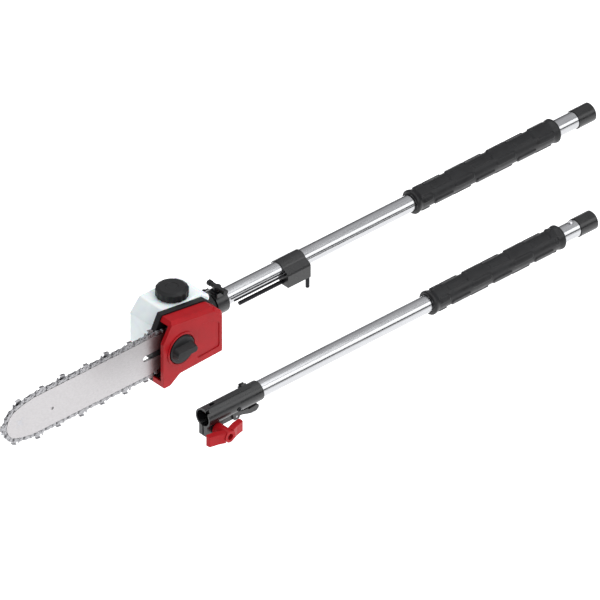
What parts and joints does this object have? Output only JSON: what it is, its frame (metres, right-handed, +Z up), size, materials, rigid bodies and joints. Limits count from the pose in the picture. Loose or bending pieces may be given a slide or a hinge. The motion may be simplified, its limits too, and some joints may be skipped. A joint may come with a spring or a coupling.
{
  "type": "pole saw attachment with extension pole",
  "caption": "Pole saw head with guide bar, saw chain, red sprocket cover and oil tank on an aluminium pole, with a separate coupling extension pole.",
  "frame": {"origin": "centre of the main pole's free end, on the pole's axis", "axes": "X along the pole, from the saw head to the free end; Z up; the guide bar stands in the XZ plane on the -Y side of the pole"},
  "size_m": [1.0731, 0.217, 0.127],
  "materials": {
    "tube_aluminium": "bright drawn aluminium",
    "bar_steel": "ground steel",
    "chain_steel": "dark steel",
    "machined_steel": "machined",
    "blackened_steel": "black oxide",
    "black_plastic": "moulded, fine grain",
    "black_gloss_plastic": "moulded, satin gloss",
    "red_plastic": "moulded, satin",
    "tank_plastic": "translucent white",
    "grip_rubber": "moulded, matt",
    "seal_rubber": "smooth",
    "spring_steel": "bright"
  },
  "bodies": {
    "saw_head_and_pole": {"gear_housing_near": "black_plastic", "gear_housing_far": "black_plastic", "housing_screws": "machined_steel", "tank_screws": "machined_steel", "bar_guide_pad": "black_plastic", "bar_stud": "machined_steel", "oil_tank": "tank_plastic", "tank_grommet": "seal_rubber", "oil_hose": "seal_rubber", "oil_filter": "black_plastic", "oil_pump": "black_plastic", "pinion_bearing": "spring_steel", "output_bearings": "spring_steel", "main_tube": "tube_aluminium", "main_shaft_bushes": "black_plastic", "pole_collar": "black_gloss_plastic", "collar_screw": "blackened_steel", "tool_holder": "black_gloss_plastic", "main_grip": "grip_rubber"},
    "input_shaft": {"drive_shaft": "machined_steel", "bevel_pinion": "machined_steel"},
    "output_shaft_group": {"output_shaft": "machined_steel", "bevel_gear": "machined_steel", "drive_sprocket": "machined_steel", "sprocket_clip": "spring_steel", "oil_worm": "machined_steel"},
    "tension_screw_body": {"tension_screw": "machined_steel"},
    "bar_and_chain": {"guide_bar": "bar_steel", "nose_rivets": "machined_steel", "tension_block": "machined_steel", "chain_drive_links": "chain_steel", "chain_tie_straps": "chain_steel", "chain_cutters": "chain_steel", "chain_rivets": "chain_steel"},
    "nose_wheel": {"nose_sprocket": "machined_steel"},
    "cover": {"sprocket_cover": "red_plastic"},
    "cover_knob_body": {"cover_knob": "black_plastic", "knob_nut": "machined_steel"},
    "cap_lift": {"cap_seal": "seal_rubber"},
    "cap_turn": {"oil_cap": "black_plastic"},
    "tee": {"tee_handle": "black_plastic"},
    "large_key": {"large_hex_key": "blackened_steel"},
    "small_key": {"small_hex_key": "blackened_steel"},
    "main_cap": {"main_end_cap": "black_gloss_plastic"},
    "extension": {"coupler_barrel": "black_gloss_plastic", "coupler_screw": "blackened_steel", "clamp_bolt": "blackened_steel", "lever_pin": "machined_steel", "lever_spring": "spring_steel", "ext_tube": "tube_aluminium", "ext_grip": "grip_rubber", "ext_shaft_bushes": "black_plastic", "snap_spring": "spring_steel"},
    "extension_shaft": {"ext_drive_shaft": "machined_steel", "shaft_socket": "machined_steel"},
    "wing": {"wing_knob": "red_plastic"},
    "lever": {"release_lever": "black_gloss_plastic"},
    "lock": {"lock_button": "black_plastic"},
    "snap": {"snap_button": "spring_steel"},
    "ext_cap": {"ext_end_cap": "black_gloss_plastic"}
  },
  "joints": [
    {"name": "shaft_turn", "type": "hinge", "parent": "saw_head_and_pole", "child": "input_shaft", "pos_m": [-0.35, 0, 0], "axis": [1, 0, 0], "continuous": true},
    {"name": "sprocket_turn", "type": "hinge", "parent": "saw_head_and_pole", "child": "output_shaft_group", "pos_m": [-0.727, -0.02, 0], "axis": [0, 1, 0], "continuous": true},
    {"name": "tension_turn", "type": "hinge", "parent": "saw_head_and_pole", "child": "tension_screw_body", "pos_m": [-0.785, -0.026, -0.0125], "axis": [1, 0, 0], "range_deg": [0, 1800]},
    {"name": "bar_slide", "type": "slide", "parent": "saw_head_and_pole", "child": "bar_and_chain", "axis": [1, 0, 0], "range_m": [0, 0.004]},
    {"name": "nose_turn", "type": "hinge", "parent": "bar_and_chain", "child": "nose_wheel", "pos_m": [-1.0364, -0.036, 0], "axis": [0, 1, 0], "continuous": true},
    {"name": "cover_lift_off", "type": "slide", "parent": "saw_head_and_pole", "child": "cover", "axis": [0, -1, 0], "range_m": [0, 0.035]},
    {"name": "cover_knob_turn", "type": "hinge", "parent": "cover", "child": "cover_knob_body", "pos_m": [-0.767, -0.055, 0], "axis": [0, 1, 0], "continuous": true},
    {"name": "cap_rise", "type": "slide", "parent": "saw_head_and_pole", "child": "cap_lift", "axis": [0, 0, 1], "range_m": [0, 0.009]},
    {"name": "cap_turn_joint", "type": "hinge", "parent": "cap_lift", "child": "cap_turn", "pos_m": [-0.735, 0.003, 0.05], "axis": [0, 0, 1], "range_deg": [0, 810]},
    {"name": "tee_turn", "type": "hinge", "parent": "saw_head_and_pole", "child": "tee", "pos_m": [-0.663, -0.005, 0.02], "axis": [0, 0, 1], "range_deg": [0, 720]},
    {"name": "large_key_slide", "type": "slide", "parent": "saw_head_and_pole", "child": "large_key", "axis": [1, 0, 0], "range_m": [0, 0.125]},
    {"name": "small_key_slide", "type": "slide", "parent": "saw_head_and_pole", "child": "small_key", "axis": [1, 0, 0], "range_m": [0, 0.13]},
    {"name": "main_cap_slide", "type": "slide", "parent": "saw_head_and_pole", "child": "main_cap", "axis": [1, 0, 0], "range_m": [0, 0.045]},
    {"name": "extension_lift", "type": "slide", "parent": "saw_head_and_pole", "child": "extension", "axis": [0, 0, 1], "range_m": [0, 0.1]},
    {"name": "extension_shaft_turn", "type": "hinge", "parent": "extension", "child": "extension_shaft", "pos_m": [-0.45, -0.149, -0.037], "axis": [1, 0, 0], "continuous": true},
    {"name": "wing_turn", "type": "hinge", "parent": "extension", "child": "wing", "pos_m": [-0.8, -0.169, -0.056], "axis": [0, 1, 0], "range_deg": [0, 720]},
    {"name": "lever_press", "type": "hinge", "parent": "extension", "child": "lever", "pos_m": [-0.7635, -0.149, -0.0555], "axis": [0, -1, 0], "range_deg": [0, 6], "stiffness_Nm_per_rad": 2, "springref_deg": -5.73, "deforming": ["lever_spring"]},
    {"name": "lock_press", "type": "slide", "parent": "extension", "child": "lock", "axis": [0, -0.6428, -0.766], "range_m": [0, 0.0028], "stiffness_N_per_m": 900, "springref_m": -0.002},
    {"name": "snap_press", "type": "slide", "parent": "extension", "child": "snap", "axis": [0, 0, -1], "range_m": [0, 0.003], "stiffness_N_per_m": 900, "springref_m": -0.002, "deforming": ["snap_spring"]},
    {"name": "ext_cap_slide", "type": "slide", "parent": "extension", "child": "ext_cap", "axis": [1, 0, 0], "range_m": [0, 0.04]}
  ],
  "couplings": [
    {"joint": "sprocket_turn", "follows": "shaft_turn", "ratio": 0.6},
    {"joint": "nose_turn", "follows": "shaft_turn", "ratio": 0.4},
    {"joint": "tension_turn", "follows": "bar_slide", "rad_per_m": 7854},
    {"joint": "cap_rise", "follows": "cap_turn_joint", "m_per_rad": 0.00063662}
  ]
}
